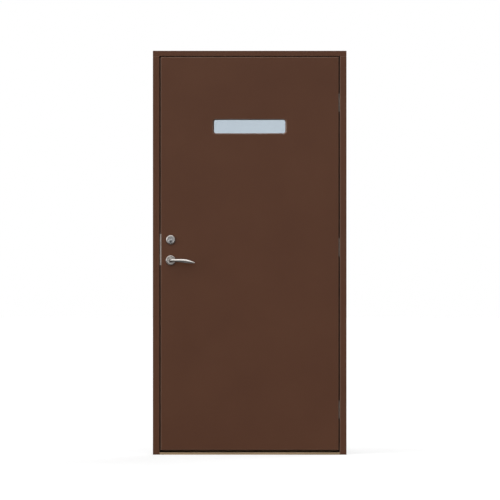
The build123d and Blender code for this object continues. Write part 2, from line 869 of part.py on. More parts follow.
def inner_glazing_frame():
    """The back glazing frame, with a flange on the inner skin."""
    flange = window_rounded(lining_width + 2 * inner_flange_cover, lining_height + 2 * inner_flange_cover,
                            inner_flange_radius, leaf_back, leaf_back + inner_flange)
    ring = window_square(lining_width - 2 * glazing_frame_clearance,
                         lining_height - 2 * glazing_frame_clearance, unit_back + tape, leaf_back)
    return flange + ring - reveal_cut(leaf_back + inner_flange, unit_back + tape) - glazing_frame_screws


def glass_pane(index):
    """One of the three panes, counted from the front."""
    y = unit_front + index * (pane + pane_spacing)
    return window_square(unit_width, unit_height, y, y + pane)


def glazing_spacers():
    """The two spacer frames that keep the panes apart."""
    frames = []
    for index in (0, 1):
        y = unit_front + pane + index * (pane + pane_spacing)
        frames.append(window_square(unit_width, unit_height, y, y + pane_spacing)
                      - window_square(unit_width - 2 * spacer_width, unit_height - 2 * spacer_width,
                                      y, y + pane_spacing))
    return joined(frames)


def glazing_tapes():
    """The tapes that bed the glass unit on the two glazing frames."""
    tapes = []
    for y0, y1 in ((unit_front - tape, unit_front), (unit_back, unit_back + tape)):
        tapes.append(window_square(unit_width, unit_height, y0, y1)
                     - window_square(unit_width - 2 * tape_width, unit_height - 2 * tape_width, y0, y1))
    return joined(tapes)


def setting_blocks():
    """Two blocks that carry the glass unit on the window lining."""
    foot = window_height_on_leaf - lining_height / 2
    half = setting_block_length / 2
    return joined([block(x - half, x + half, unit_front, unit_back, foot, foot + unit_clearance)
                   for x in (-setting_block_offset, setting_block_offset)])


# Mortise lock


def bolt_windows(x0, x1, clearance):
    """The openings a latch bolt and a deadbolt pass through."""
    cuts = []
    for middle, height in ((latch_middle, latch_height), (deadbolt_middle, deadbolt_height)):
        half = height / 2 + clearance
        cuts.append(block(x0, x1, bolt_front - clearance, bolt_back + clearance,
                          middle - half, middle + half))
    return joined(cuts)


def lock_forend():
    """The face plate of the lock in the edge of the leaf."""
    return forend_body() - bolt_windows(-leaf_edge, case_face, bolt_clearance) - edge_screws


def case_bores(y0, y1):
    """The bores across the lock case for the screws that pass through it."""
    bores = []
    for x in rosette_screw_xs:
        bores.append(rod_y(machine_screw_shank + screw_bore_clearance, x, handle_height, y0, y1))
    for x in cylinder_screw_xs:
        bores.append(rod_y(machine_screw_shank + screw_bore_clearance, x, cylinder_screw_height, y0, y1))
    return joined(bores)


def lock_case():
    """The tray of the lock, open to the push side."""
    tray = block(case_face, case_face + case_depth, case_front, case_rear - case_wall,
                 case_bottom, case_top)
    tray = tray - block(case_face + case_wall, case_face + case_depth - case_wall,
                        case_front + case_wall, case_rear - case_wall,
                        case_bottom + case_wall, case_top - case_wall)
    tray = tray - bolt_windows(case_face, case_face + case_wall, bolt_clearance)
    tray = tray - rod_y(follower_journal + turn_clearance, lock_x, handle_height, case_front, leaf_middle)
    tray = tray - rod_y(plug_tail + bolt_clearance, lock_x, plug_height, case_front, leaf_middle)
    return tray - case_bores(case_front, leaf_middle)


def lock_case_cover():
    """The cover of the lock, on the push side."""
    sheet = block(case_face, case_face + case_depth, case_rear - case_wall, case_rear,
                  case_bottom, case_top)
    sheet = sheet - rod_y(follower_journal + turn_clearance, lock_x, handle_height,
                          leaf_middle, case_rear)
    sheet = sheet - rod_y(cam_journal + turn_clearance, lock_x, plug_height, leaf_middle, case_rear)
    return sheet - case_bores(case_rear - case_wall, case_rear)


def latch_bolt():
    """The sprung latch, bevelled towards the stop, with a lug for the follower arm."""
    tip = -leaf_edge - latch_throw
    heel = tip + latch_head
    bevel = bolt_thickness - latch_nose
    outline = [(tip, bolt_front), (heel, bolt_front), (heel, bolt_back), (tip + bevel, bolt_back),
               (tip, bolt_front + latch_nose)]
    head = prism_z(outline, latch_middle - latch_height / 2, latch_middle + latch_height / 2)
    lug_start = lock_x + arm_half_width + arm_lost_motion
    tail_middle = handle_height + latch_tail_rise
    tail = block(heel, lug_start + lug_length, bolt_front, bolt_front + tail_thickness,
                 tail_middle - latch_tail_height / 2, tail_middle + latch_tail_height / 2)
    lug = block(lug_start, lug_start + lug_length, bolt_front, bolt_back,
                handle_height + lug_base_rise, tail_middle + latch_tail_height / 2)
    return head + tail + lug


def follower():
    """The hub turned by the spindle, whose arm draws the latch back."""
    journal = rod_y(follower_journal, lock_x, handle_height, case_front, case_rear)
    hub = rod_y(follower_hub, lock_x, handle_height, case_front + case_wall + bolt_clearance,
                case_rear - case_wall - bolt_clearance)
    arm = block(lock_x - arm_half_width, lock_x + arm_half_width, layer_front, bolt_back,
                handle_height, handle_height + follower_arm)
    hole = spindle_side / 2 + square_clearance
    square = block(lock_x - hole, lock_x + hole, case_front, case_rear,
                   handle_height - hole, handle_height + hole)
    return journal + hub + arm - square


def deadbolt():
    """The deadbolt, whose tail is notched for the pin of the cam. It is drawn back."""
    heel = -leaf_edge + deadbolt_head
    head = block(-leaf_edge, heel, bolt_front, bolt_back,
                 deadbolt_middle - deadbolt_height / 2, deadbolt_middle + deadbolt_height / 2)
    notch_half = cam_pin + pin_slot_clearance
    notch_x = lock_x + pin_reach
    pin_orbit = pin_reach / sin(radians(45))
    tail = block(heel, notch_x + notch_half + cam_arm_half_width, bolt_front, bolt_front + tail_thickness,
                 plug_height - tail_bottom_drop, plug_height - tail_top_drop)
    notch = block(notch_x - notch_half, notch_x + notch_half, bolt_front, bolt_front + tail_thickness,
                  plug_height - pin_orbit - cam_pin - hole_end_clearance, plug_height - tail_top_drop)
    return head + tail - notch


def deadbolt_cam():
    """The cam on the thumb turn, whose pin drives the deadbolt through half of its circle."""
    pin_x = lock_x + pin_reach
    pin_z = plug_height - pin_reach
    journal = rod_y(cam_journal, lock_x, plug_height, layer_front, case_rear)
    hub = rod_y(cam_hub, lock_x, plug_height, layer_front, case_rear - case_wall - bolt_clearance)
    web = Pos((lock_x + pin_x) / 2, layer_front + cam_layer / 2, (plug_height + pin_z) / 2)
    length = pin_reach / sin(radians(45))
    arm = web * Rot(0, 45, 0) * Box(length, cam_layer, 2 * cam_arm_half_width)
    boss = rod_y(cam_arm_half_width, pin_x, pin_z, layer_front, layer_front + cam_layer)
    pin = rod_y(cam_pin, pin_x, pin_z, bolt_front + layer_gap / 2, layer_front + cam_layer)
    hole = turn_square / 2 + square_clearance
    square = block(lock_x - hole, lock_x + hole, layer_front, case_rear,
                   plug_height - hole, plug_height + hole)
    return journal + hub + arm + boss + pin - square


# Furniture


def mirrored_to_back(shape):
    """The same piece on the push side of the leaf."""
    return mirror(shape, Plane.XZ.offset(-leaf_middle))


def rosette_blank():
    """A lever rosette with a raised rim round a hollow dish, on the pull side."""
    top = front - rosette_depth
    rim_in = rosette_radius - rosette_wall
    hole = neck_radius + neck_clearance
    dish = top + dish_depth
    outline = [(spindle_bore, front), (rosette_radius, front),
               (rosette_radius, top + rosette_rim),
               (rosette_radius - rosette_rim / 3, top + rosette_rim / 3),
               (rosette_radius - rosette_rim, top),
               (rim_in, top + rosette_rim / 4), (rim_in - rosette_rim, dish - rosette_rim / 4),
               (hole + rosette_wall, dish), (hole, dish), (hole, front - rosette_base),
               (spindle_bore, front - rosette_base)]
    return turned_y(outline, lock_x, handle_height)


def outer_rosette():
    """The lever rosette on the pull side, tapped from behind for its two screws."""
    return rosette_blank() - rosette_screws


def inner_rosette():
    """The lever rosette on the push side, bored for the heads of its two screws."""
    plate = mirrored_to_back(rosette_blank())
    for x in rosette_screw_xs:
        plate = plate - rod_y(machine_screw_head, x, handle_height, rosette_seat,
                              rosette_seat + rosette_depth)
        plate = plate - rod_y(machine_screw_shank, x, handle_height, leaf_back, rosette_seat)
    return plate


def oval_of_flats(width, height):
    """An oval drawn with straight sides, so that the grip has a few long faces."""
    angles = [radians(360 * (side + 0.5) / lever_flats) for side in range(lever_flats)]
    grow = 1 / cos(radians(180 / lever_flats))
    corners = [(grow * width / 2 * cos(a), grow * height / 2 * sin(a)) for a in angles]
    return make_face(Polyline(*corners, close=True))


def outer_lever():
    """The lever on the pull side: straight neck, bend and a bow-shaped grip that droops."""
    root = front - rosette_base - neck_gap
    grip_y = front - lever_reach
    neck_end = root - neck_straight
    taper_end = neck_end - neck_taper
    bend_start = grip_y + bend_radius
    outline = [(0, root), (neck_radius, root), (neck_radius, neck_end), (shank_radius, taper_end),
               (shank_radius, bend_start), (0, bend_start)]
    neck = turned_y(outline, lock_x, handle_height)
    arc = CenterArc((lock_x + bend_radius, bend_start, handle_height), bend_radius, 180, 90)
    section = Plane(origin=(lock_x, bend_start, handle_height), z_dir=(0, -1, 0)) * Circle(shank_radius)
    bend = sweep(section, path=arc)
    ovals = []
    for along, drop, height, depth in lever_sections:
        place = Plane(origin=(lock_x + along, grip_y, handle_height - drop),
                      x_dir=(0, 1, 0), z_dir=(1, 0, 0))
        ovals.append(place * oval_of_flats(depth, height))
    grip = loft(ovals)
    hole = spindle_side / 2 + square_clearance
    socket = block(lock_x - hole, lock_x + hole, root - spindle_end_depth - socket_end_gap, root,
                   handle_height - hole, handle_height + hole)
    return neck + bend + grip - socket


def inner_lever():
    """The lever on the push side."""
    return mirrored_to_back(outer_lever())


def spindle():
    """The square bar that joins both levers through the follower."""
    half = spindle_side / 2
    root = front - rosette_base - neck_gap
    end = root - spindle_end_depth
    return block(lock_x - half, lock_x + half, end, 2 * leaf_middle - end,
                 handle_height - half, handle_height + half)


def housing_face_sketch(extra=0.0):
    """The outline of the cylinder inside its ring: a disc joined to the collar below it."""
    disc = Circle(housing_radius + extra)
    collar = Pos(0, -plug_drop) * Circle(collar_radius + extra)
    return disc + collar


def cylinder_ring():
    """The domed ring round the cylinder, opened to the shape of the cylinder face."""
    top = front - ring_depth
    outline = [(0, front), (ring_radius, front), (ring_radius, front - ring_rim),
               (ring_radius - ring_rim / 3, top + ring_rim), (ring_radius - ring_rim, top + ring_rim / 3),
               (ring_radius - ring_rim - ring_rim / 2, top), (ring_radius - ring_slope, top),
               (0, top + ring_drop)]
    dome = turned_y(outline, lock_x, cylinder_height)
    return dome - plate_y(housing_face_sketch(housing_gap), lock_x, cylinder_height, top, front)


def cylinder_housing():
    """The fixed body of the cylinder, with a disc inside the ring and a collar round the plug."""
    top = front - ring_depth
    disc = plate_y(housing_face_sketch(), lock_x, cylinder_height, top + housing_recess + ring_drop, front)
    body = plate_y(housing_body_sketch(), lock_x, cylinder_height, front, case_front)
    collar = rod_y(collar_radius, lock_x, plug_height, front - collar_depth, front)
    rim = collar.edges().filter_by(GeomType.CIRCLE).sort_by(Axis.Y)[0]
    collar = fillet([rim], collar_round)
    bore = rod_y(plug_radius + turn_clearance, lock_x, plug_height, front - collar_depth,
                 front + plug_length + plug_end_gap)
    tail_bore = rod_y(plug_tail + bolt_clearance, lock_x, plug_height, front, case_front)
    return disc + body + collar - bore - tail_bore - cylinder_screws


def key_plug():
    """The plug that the key turns, with its keyway and its tail."""
    face = front - collar_depth - plug_proud
    barrel = rod_y(plug_radius, lock_x, plug_height, face, front + plug_length)
    tail = rod_y(plug_tail, lock_x, plug_height, front, layer_front - plug_tail_gap)
    slot = block(lock_x - keyway_width / 2, lock_x + keyway_width / 2, face, face + keyway_depth,
                 plug_height - keyway_height / 2, plug_height + keyway_height / 2)
    groove = block(lock_x - keyway_width / 2 - keyway_groove, lock_x, face, face + keyway_depth,
                   plug_height - keyway_groove, plug_height + keyway_groove)
    return barrel + tail - slot - groove


def thumb_turn_rosette():
    """The plate on the push side that carries the thumb turn."""
    disc = rod_y(ring_radius, lock_x, plug_height, leaf_back, leaf_back + turn_rosette_depth)
    rim = disc.edges().filter_by(GeomType.CIRCLE).sort_by(Axis.Y)[-1]
    disc = fillet([rim], ring_rim)
    bore = rod_y(turn_shaft + turn_clearance, lock_x, plug_height, leaf_back,
                 leaf_back + turn_rosette_depth)
    return disc - bore - cylinder_screws


def thumb_turn():
    """The knob that throws the deadbolt, with its shaft and square bar."""
    knob_start = leaf_back + turn_rosette_depth + turn_knob_gap
    knob_end = knob_start + turn_knob_depth
    wing = plate_y(Rot(0, 0, 90) * SlotOverall(turn_knob_length, turn_knob_width),
                   lock_x, plug_height, knob_start, knob_end)
    wing = fillet(wing.faces().sort_by(Axis.Y)[-1].edges(), turn_knob_round)
    shaft = rod_y(turn_shaft, lock_x, plug_height, leaf_back, knob_start)
    half = turn_square / 2
    bar = block(lock_x - half, lock_x + half, layer_front, knob_start,
                plug_height - half, plug_height + half)
    return wing + shaft + bar


head_seal_half = seal_line + seal_width / 2
threshold_seal_half = seal_line - seal_width / 2

parts = {
    "frame_head": frame_head(),
    "latch_jamb": latch_jamb(),
    "hinge_jamb": hinge_jamb(),
    "threshold": threshold(),
    "head_seal": cross_seal(head_seal_line, head_seal_half, head_seal_half),
    "latch_jamb_seal": jamb_seal(-1),
    "hinge_jamb_seal": jamb_seal(1),
    "threshold_seal": cross_seal(threshold_seal_line, threshold_seal_half, stop),
    "strike_plate": strike_plate(),
    "strike_screws": strike_screws,
    "frame_screws": frame_screws,
    "fixing_sleeves": fixing_sleeves(),
    "hinge_pins": joined([hinge_pin(z) for z in hinge_heights]),
    "hinge_box_screws": hinge_box_screws,
    "hinge_arm_screws": hinge_arm_screws,
    "outer_skin": outer_skin(),
    "inner_skin": inner_skin(),
    "latch_stile": latch_stile(),
    "hinge_stile": hinge_stile(),
    "top_rail": leaf_rail(leaf_top - top_rail_height, leaf_top),
    "bottom_rail": leaf_rail(leaf_bottom, leaf_bottom + bottom_rail_height),
    "lock_block": lock_block(),
    "insulation_core": insulation_core(),
    "window_lining": window_lining(),
    "outer_glazing_frame": outer_glazing_frame(),
    "inner_glazing_frame": inner_glazing_frame(),
    "outer_pane": glass_pane(0),
    "middle_pane": glass_pane(1),
    "inner_pane": glass_pane(2),
    "glazing_spacers": glazing_spacers(),
    "glazing_tapes": glazing_tapes(),
    "setting_blocks": setting_blocks(),
    "glazing_frame_screws": glazing_frame_screws,
    "lock_case": lock_case(),
    "lock_case_cover": lock_case_cover(),
    "lock_forend": lock_forend(),
    "edge_screws": edge_screws,
    "edge_guard": edge_guard(),
    "outer_rosette": outer_rosette(),
    "inner_rosette": inner_rosette(),
    "rosette_screws": rosette_screws,
    "cylinder_ring": cylinder_ring(),
    "cylinder_housing": cylinder_housing(),
    "cylinder_screws": cylinder_screws,
    "thumb_turn_rosette": thumb_turn_rosette(),
    "outer_lever": outer_lever(),
    "inner_lever": inner_lever(),
    "spindle": spindle(),
    "follower": follower(),
    "latch_bolt": latch_bolt(),
    "deadbolt": deadbolt(),
    "deadbolt_cam": deadbolt_cam(),
    "thumb_turn": thumb_turn(),
    "key_plug": key_plug(),
}
for level, z in zip(("bottom", "middle", "top"), hinge_heights):
    parts[f"hinge_box_{level}"] = hinge_box(z)
    parts[f"hinge_arm_{level}"] = hinge_arm(z)

os.makedirs("parts", exist_ok=True)
for name, shape in parts.items():
    export_step(shape, f"parts/{name}.step")
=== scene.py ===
# %% [markdown]
# A painted entrance door, dressed over its CAD model
#
# The CAD model gives every solid its true shape and place. This lesson gives the door its
# finishes, the smooth castings of the levers and the recessed heads of its screws. It starts by
# loading the imported model.

# %% Load the imported door
import bpy
import bmesh
import json
import math
from mathutils import Matrix, Vector


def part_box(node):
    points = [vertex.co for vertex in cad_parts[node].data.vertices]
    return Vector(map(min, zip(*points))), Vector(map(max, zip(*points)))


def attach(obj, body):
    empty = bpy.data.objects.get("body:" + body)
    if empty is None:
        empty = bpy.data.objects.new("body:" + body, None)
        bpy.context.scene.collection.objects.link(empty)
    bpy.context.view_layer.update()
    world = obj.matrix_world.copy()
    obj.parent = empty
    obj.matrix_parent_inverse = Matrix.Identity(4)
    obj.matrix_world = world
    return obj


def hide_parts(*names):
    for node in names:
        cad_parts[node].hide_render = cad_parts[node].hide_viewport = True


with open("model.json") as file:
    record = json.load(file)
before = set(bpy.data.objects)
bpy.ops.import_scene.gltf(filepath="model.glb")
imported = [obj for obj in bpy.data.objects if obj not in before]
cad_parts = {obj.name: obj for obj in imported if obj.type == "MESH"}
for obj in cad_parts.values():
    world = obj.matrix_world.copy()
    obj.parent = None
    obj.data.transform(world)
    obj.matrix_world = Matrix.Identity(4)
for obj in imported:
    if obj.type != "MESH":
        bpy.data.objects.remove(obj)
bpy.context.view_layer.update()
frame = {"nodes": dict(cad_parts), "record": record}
nodes = frame["nodes"]
bpy.ops.object.select_all(action="DESELECT")
mm = 0.001
scene = bpy.context.scene
scene.view_settings.view_transform = "Standard"

# %% [markdown]
# The camera
#
# The door is photographed square on, and its edges run dead straight, so the camera stands far
# back with a long lens. Its height and its small side shift follow from the picture, in which
# one pixel covers 5.112 mm of the front of the frame.

# %% Camera
camera_distance = 30.0
picture_width = 2.556
sensor_width = 36.0
camera_height = 1.0464
camera_side = 0.0016
front_plane = -0.0525
far_clip = 200.0

camera_data = bpy.data.cameras.new("long_lens")
camera_data.sensor_width = sensor_width
camera_data.lens = sensor_width * camera_distance / picture_width
camera_data.clip_end = far_clip
camera = bpy.data.objects.new("camera", camera_data)
camera.location = (camera_side, front_plane - camera_distance, camera_height)
camera.rotation_euler = (math.radians(90), 0, 0)
scene.collection.objects.link(camera)
scene.camera = camera
print("lens", round(camera_data.lens, 1), "mm")

# %% [markdown]
# Helpers for the materials
#
# Colours are written as the hex values that a paint chart or a picture editor shows, and one
# function turns them into the linear values that a shader works in. Another adds one node with
# its settings, values and links. The short ones after it build on that one, so that a material
# reads as a list of what feeds what: noise of a real size, a ramp, a blend of two colours, dents
# and the shader itself.

# %% Colour and node helpers


def colour(hex_code, alpha=1.0):
    """An sRGB hex colour as linear values."""
    parts = [int(hex_code[i:i + 2], 16) / 255 for i in (0, 2, 4)]
    return tuple(c / 12.92 if c <= 0.04045 else ((c + 0.055) / 1.055) ** 2.4 for c in parts) + (alpha,)


def add_node(tree, kind, settings=None, **sockets):
    """One node, its settings, and its inputs as values or as the outputs that feed them."""
    made = tree.nodes.new(kind)
    for name, value in (settings or {}).items():
        setattr(made, name, value)
    for name, value in sockets.items():
        key = name[2:] if name.startswith("at") else name.replace("_", " ")
        socket = made.inputs[int(key)] if key.isdigit() else made.inputs[key]
        if isinstance(value, bpy.types.NodeSocket):
            tree.links.new(value, socket)
        else:
            socket.default_value = value
    return made


def calculate(tree, operation, *values):
    """A sum, product or other operation on values."""
    numbered = {f"at{i}": value for i, value in enumerate(values)}
    return add_node(tree, "ShaderNodeMath", {"operation": operation}, **numbered).outputs[0]


def ramp(tree, value, start, end, low=0.0, high=1.0):
    """A value laid out anew: low where it is at its start, high where it is at its end."""
    return add_node(tree, "ShaderNodeMapRange", Value=value, From_Min=start, From_Max=end,
                    To_Min=low, To_Max=high).outputs[0]


def blend(tree, share, first, second):
    """The first colour, a hex or an output, turning into the second as the share goes to 1."""
    if isinstance(first, str):
        first = colour(first)
    return add_node(tree, "ShaderNodeMix", {"data_type": "RGBA"}, at0=share, at6=first,
                    at7=colour(second)).outputs[2]


def noise(tree, place, size, detail, **more):
    """Soft blotches of a real size."""
    return add_node(tree, "ShaderNodeTexNoise", Vector=place, Scale=1 / size, Detail=detail,
                    **more).outputs["Fac"]


def drawn_out(tree, place, sizes):
    """The place, scaled so that noise of size 1 gets its own size along each axis."""
    return add_node(tree, "ShaderNodeMapping", Vector=place,
                    Scale=[1 / size for size in sizes]).outputs[0]


def dented(tree, height, depth, strength):
    """The surface's direction, turned as dents of a real depth would turn it."""
    return add_node(tree, "ShaderNodeBump", Height=height, Distance=depth, Strength=strength).outputs[0]


def surface(tree, output, **inputs):
    """The shader itself, with its constant values on its own inputs."""
    shader = add_node(tree, "ShaderNodeBsdfPrincipled", **inputs)
    tree.links.new(shader.outputs[0], output.inputs["Surface"])


def new_material(name):
    """An empty material, its node tree and its output node."""
    made = bpy.data.materials.new(name)
    made.use_nodes = True
    made.node_tree.nodes.clear()
    output = made.node_tree.nodes.new("ShaderNodeOutputMaterial")
    return made, made.node_tree, output


def object_place(tree):
    """The place on the object, in metres."""
    return add_node(tree, "ShaderNodeTexCoord").outputs["Object"]


def finish_nodes(material, *names):
    """Gives a material to CAD nodes."""
    for name in names:
        for slot in nodes[name].material_slots:
            slot.material = material
    print(material.name, "on", len(names), "nodes")


# %% [markdown]
# The backdrop
#
# The picture is a plain studio cut-out, white all round. The world is white to the camera and
# through the glass. Metal sees it darker at eye level and paler overhead, as in a real studio,
# and it adds little light of its own, so the gaps round the leaf stay dark.

# %% World
world_light = 0.10
eye_level_glow = 0.33
overhead_glow = 0.6
overhead_height = 0.7

world = bpy.data.worlds.new("studio")
world.use_nodes = True
scene.world = world
sky = world.node_tree
sky.nodes.clear()
ray = add_node(sky, "ShaderNodeLightPath")
seen = calculate(sky, "MAXIMUM", ray.outputs["Is Camera Ray"], ray.outputs["Is Transmission Ray"])
direction = add_node(sky, "ShaderNodeTexCoord").outputs["Generated"]
upward = add_node(sky, "ShaderNodeSeparateXYZ", Vector=direction).outputs["Z"]
mirrored = ramp(sky, upward, 0.0, overhead_height, eye_level_glow, overhead_glow)
lit = add_node(sky, "ShaderNodeMix", {"data_type": "FLOAT"}, at0=ray.outputs["Is Glossy Ray"],
               at2=world_light, at3=mirrored)
level = add_node(sky, "ShaderNodeMix", {"data_type": "FLOAT"}, at0=seen, at2=lit.outputs[0], at3=1.0)
back_light = add_node(sky, "ShaderNodeBackground", Color=(1, 1, 1, 1), Strength=level.outputs[0])
add_node(sky, "ShaderNodeOutputWorld", Surface=back_light.outputs[0])
print("world light", world_light, "mirrored from", eye_level_glow, "to", overhead_glow)

# %% [markdown]
# The floor
#
# The floor is a pale matt sheet. It keeps the shadow of the door, and a little glow that only
# the camera sees lifts it to white, so that no lamp has to do so.

# %% Floor
floor_half = 60.0
floor_drop = 0.5 * mm
camera_lift = 0.60
bpy.ops.mesh.primitive_plane_add(size=2 * floor_half, location=(0, 0, -floor_drop))
floor = bpy.context.object
floor.name = "floor"
floor_paint, tree, output = new_material("pale_studio_floor")
ray = add_node(tree, "ShaderNodeLightPath")
shade = blend(tree, ray.outputs["Is Glossy Ray"], "B4B4B4", "6A6A6A")
matt = add_node(tree, "ShaderNodeBsdfDiffuse", Color=shade)
lift_level = calculate(tree, "MULTIPLY", ray.outputs["Is Camera Ray"], camera_lift)
lift = add_node(tree, "ShaderNodeEmission", Color=(1, 1, 1, 1), Strength=lift_level)
both = add_node(tree, "ShaderNodeAddShader", at0=matt.outputs[0], at1=lift.outputs[0])
tree.links.new(both.outputs[0], output.inputs["Surface"])
floor.data.materials.append(floor_paint)
print("floor", 2 * floor_half, "m wide")

# %% [markdown]
# The lamps
#
# A broad soft lamp high in front drops the soft shadow of the lever on the leaf, a second one
# from the left catches the left-hand arrises, and two more lift the tops and the back. They are
# so far away that they light the foot of the door like its head, and so broad that the chrome
# shows soft bands and no bright spots.

# %% Lamps
door_middle = (0.0, 0.0, 1.0)
# Each lamp: name, place, strength, and its spread in degrees
lamps = [
    ("key_lamp", (-0.7, -6.0, 7.0), 2.0, 76),
    ("left_lamp", (-9.2, -4.0, 2.2), 1.9, 40),
    ("top_lamp", (-0.6, -4.4, 10.0), 0.5, 64),
    ("back_lamp", (3.0, 6.0, 5.0), 1.6, 50),
]


def broad_lamp(name, place, strength, spread):
    """A very large, far lamp, turned to the door."""
    lamp = bpy.data.lights.new(name, "SUN")
    lamp.energy = strength
    lamp.angle = math.radians(spread)
    holder = bpy.data.objects.new(name, lamp)
    holder.location = place
    holder.rotation_euler = (Vector(door_middle) - Vector(place)).to_track_quat("-Z", "Y").to_euler()
    scene.collection.objects.link(holder)


for name, place, strength, spread in lamps:
    broad_lamp(name, place, strength, spread)
print("lamps", [lamp[0] for lamp in lamps])

# %% [markdown]
# Sprayed satin paint
#
# Leaf and frame are sprayed in the same dark brown satin paint. Sprayed paint is even, with a
# slight orange peel that breaks up its sheen, a faint cloudiness, and thinner, lighter paint on
# sharp edges, where it draws back and where hands and shoes rub it. The rounded arrises get
# the same pale colour as a painted highlight, for the light that catches them. A wave pattern
# could give brush marks, but a sprayed door has none, so noise at two scales does it all. On
# timber a third noise, drawn out along the board, lets the grain show faintly.

# %% Paint
peel_size = 3.0 * mm
cloud_size = 260 * mm
grain_width = 4 * mm
grain_length = 160 * mm
edge_reach = 1.6 * mm
edge_wear = 0.30
# Share of the pale colour painted on rounded arrises as a highlight
arris_highlight = 0.15
noise_low, noise_high = 0.3, 0.7
paint_peel_depth = 0.05 * mm
paint_grain_depth = 0.07 * mm
# How far a rounded normal agrees with the true one: where an edge starts, and where it is full
edge_start, edge_full = 0.985, 0.80
# Sum of the fourth powers of the normal's parts: 1 on a flat face, and 0.5 halfway round an arris
arris_start, arris_full = 0.97, 0.6


def edge_mask(tree, radius):
    """Near 1 where a surface turns within the radius, and 0 on the flat."""
    rounded = add_node(tree, "ShaderNodeBevel", {"samples": 6}, Radius=radius)
    true = add_node(tree, "ShaderNodeNewGeometry")
    along = add_node(tree, "ShaderNodeVectorMath", {"operation": "DOT_PRODUCT"},
                     at0=rounded.outputs[0], at1=true.outputs["Normal"])
    return ramp(tree, along.outputs["Value"], edge_start, edge_full)


def arris_highlight_mask(tree, facing):
    """Where the painted highlight goes: near 1 on a rounded arris, where the surface faces between two
    axes, and 0 on the flat.
    """
    apart = add_node(tree, "ShaderNodeSeparateXYZ", Vector=facing)
    powers = [calculate(tree, "POWER", apart.outputs[axis], 4.0) for axis in "XYZ"]
    flat = calculate(tree, "ADD", calculate(tree, "ADD", powers[0], powers[1]), powers[2])
    return ramp(tree, flat, arris_start, arris_full)


def painted(name, grain=None):
    """Sprayed satin paint, over smooth board or over timber whose grain shows faintly."""
    made, tree, output = new_material(name)
    coordinates = add_node(tree, "ShaderNodeTexCoord")
    place = coordinates.outputs["Object"]
    peel = noise(tree, place, peel_size, 2.0)
    tone = ramp(tree, noise(tree, place, cloud_size, 3.0), noise_low, noise_high)
    base = blend(tree, tone, "4B2914", "4F2D18")
    sharp = calculate(tree, "MULTIPLY", edge_mask(tree, edge_reach), edge_wear)
    arris = arris_highlight_mask(tree, coordinates.outputs["Normal"])
    wear_and_highlight = calculate(tree, "MULTIPLY_ADD", arris, arris_highlight, sharp)
    height = peel
    depth = paint_peel_depth
    if grain:
        fibres = noise(tree, drawn_out(tree, place, grain), 1.0, 4.0, Roughness=0.6)
        height = calculate(tree, "MULTIPLY_ADD", fibres, 2.0, peel)
        depth = paint_grain_depth
    # The pale colour is wear on sharp edges and a painted highlight on rounded arrises
    surface(tree, output, Base_Color=blend(tree, wear_and_highlight, base, "B89E8C"),
            Roughness=ramp(tree, peel, noise_low, noise_high, 0.38, 0.48),
            Normal=dented(tree, height, depth, 0.6), IOR=1.5, Specular_IOR_Level=0.3)
    return made


leaf_paint = painted("sprayed_satin_paint_on_board")
upright_paint = painted("sprayed_satin_paint_on_upright_timber",
                        (grain_width, grain_width, grain_length))
level_paint = painted("sprayed_satin_paint_on_level_timber",
                      (grain_length, grain_width, grain_width))
finish_nodes(leaf_paint, "outer_skin", "inner_skin", "outer_glazing_frame", "inner_glazing_frame")
finish_nodes(upright_paint, "latch_jamb", "hinge_jamb", "latch_stile", "hinge_stile")
finish_nodes(level_paint, "frame_head", "top_rail", "bottom_rail")

# %% [markdown]
# Oiled oak and planed pine
#
# The threshold is solid oak, because feet wear it. Oak is ring-porous: straight darker lines
# run the length of the board, with short open pores between them, and oil deepens the colour
# and leaves a low sheen. The lines come from noise that is squeezed across the board and
# drawn out along it. The wood inside the leaf is plain planed pine, made the same way with
# wider rings and faint pores.

# %% Timber
ring_start, ring_end = 0.36, 0.64
pore_start, pore_end = 0.60, 0.72
timber_dent = 0.15 * mm


def timber(name, pale, dark, pore, along, ring, ring_length, rough_low, rough_high, pores):
    """Straight-grained timber, its fibres running along one axis (0 for X, 2 for Z)."""
    made, tree, output = new_material(name)
    place = object_place(tree)
    ring_sizes = [ring] * 3
    ring_sizes[along] = ring_length
    pore_sizes = [ring / 6] * 3
    pore_sizes[along] = ring_length / 14
    lines = noise(tree, drawn_out(tree, place, ring_sizes), 1.0, 5.0, Roughness=0.55, Distortion=0.3)
    specks = noise(tree, drawn_out(tree, place, pore_sizes), 1.0, 2.0)
    pore_mask = ramp(tree, specks, pore_start, pore_end, 0.0, pores)
    wood = blend(tree, ramp(tree, lines, ring_start, ring_end), pale, dark)
    dents = calculate(tree, "SUBTRACT", lines, pore_mask)
    surface(tree, output, Base_Color=blend(tree, pore_mask, wood, pore),
            Roughness=ramp(tree, lines, noise_low, noise_high, rough_low, rough_high),
            Normal=dented(tree, dents, timber_dent, 0.6), IOR=1.5)
    return made


oak = timber("oiled_solid_oak", "9C8262", "806A4C", "5A4630", 0, 7 * mm, 320 * mm, 0.42, 0.6, 0.8)
pine = timber("planed_pine", "DDB57C", "BE8C50", "8F6437", 2, 9 * mm, 380 * mm, 0.55, 0.7, 0.3)
finish_nodes(oak, "threshold")
finish_nodes(pine, "lock_block", "window_lining")

# %% [markdown]
# Rubber, foam and warm-edge spacer
#
# The seals are extruded black rubber, matt and a little dusty. The spacers between the panes
# are a black foam strip, which looks the same. The core of the leaf is rigid foam, pale
# and full of small cells, which a Voronoi pattern draws well.

# %% Soft parts
dust_size = 6 * mm
dust_depth = 0.05 * mm
cell_size = 1.5 * mm
cell_depth = 0.3 * mm
rubber, tree, output = new_material("extruded_black_rubber")
dusty = noise(tree, object_place(tree), dust_size, 3.0)
surface(tree, output, Base_Color=blend(tree, dusty, "171615", "26241F"),
        Roughness=ramp(tree, dusty, 0.0, 1.0, 0.55, 0.8), Normal=dented(tree, dusty, dust_depth, 0.5))
finish_nodes(rubber, "head_seal", "latch_jamb_seal", "hinge_jamb_seal", "threshold_seal",
             "glazing_tapes", "setting_blocks", "glazing_spacers")

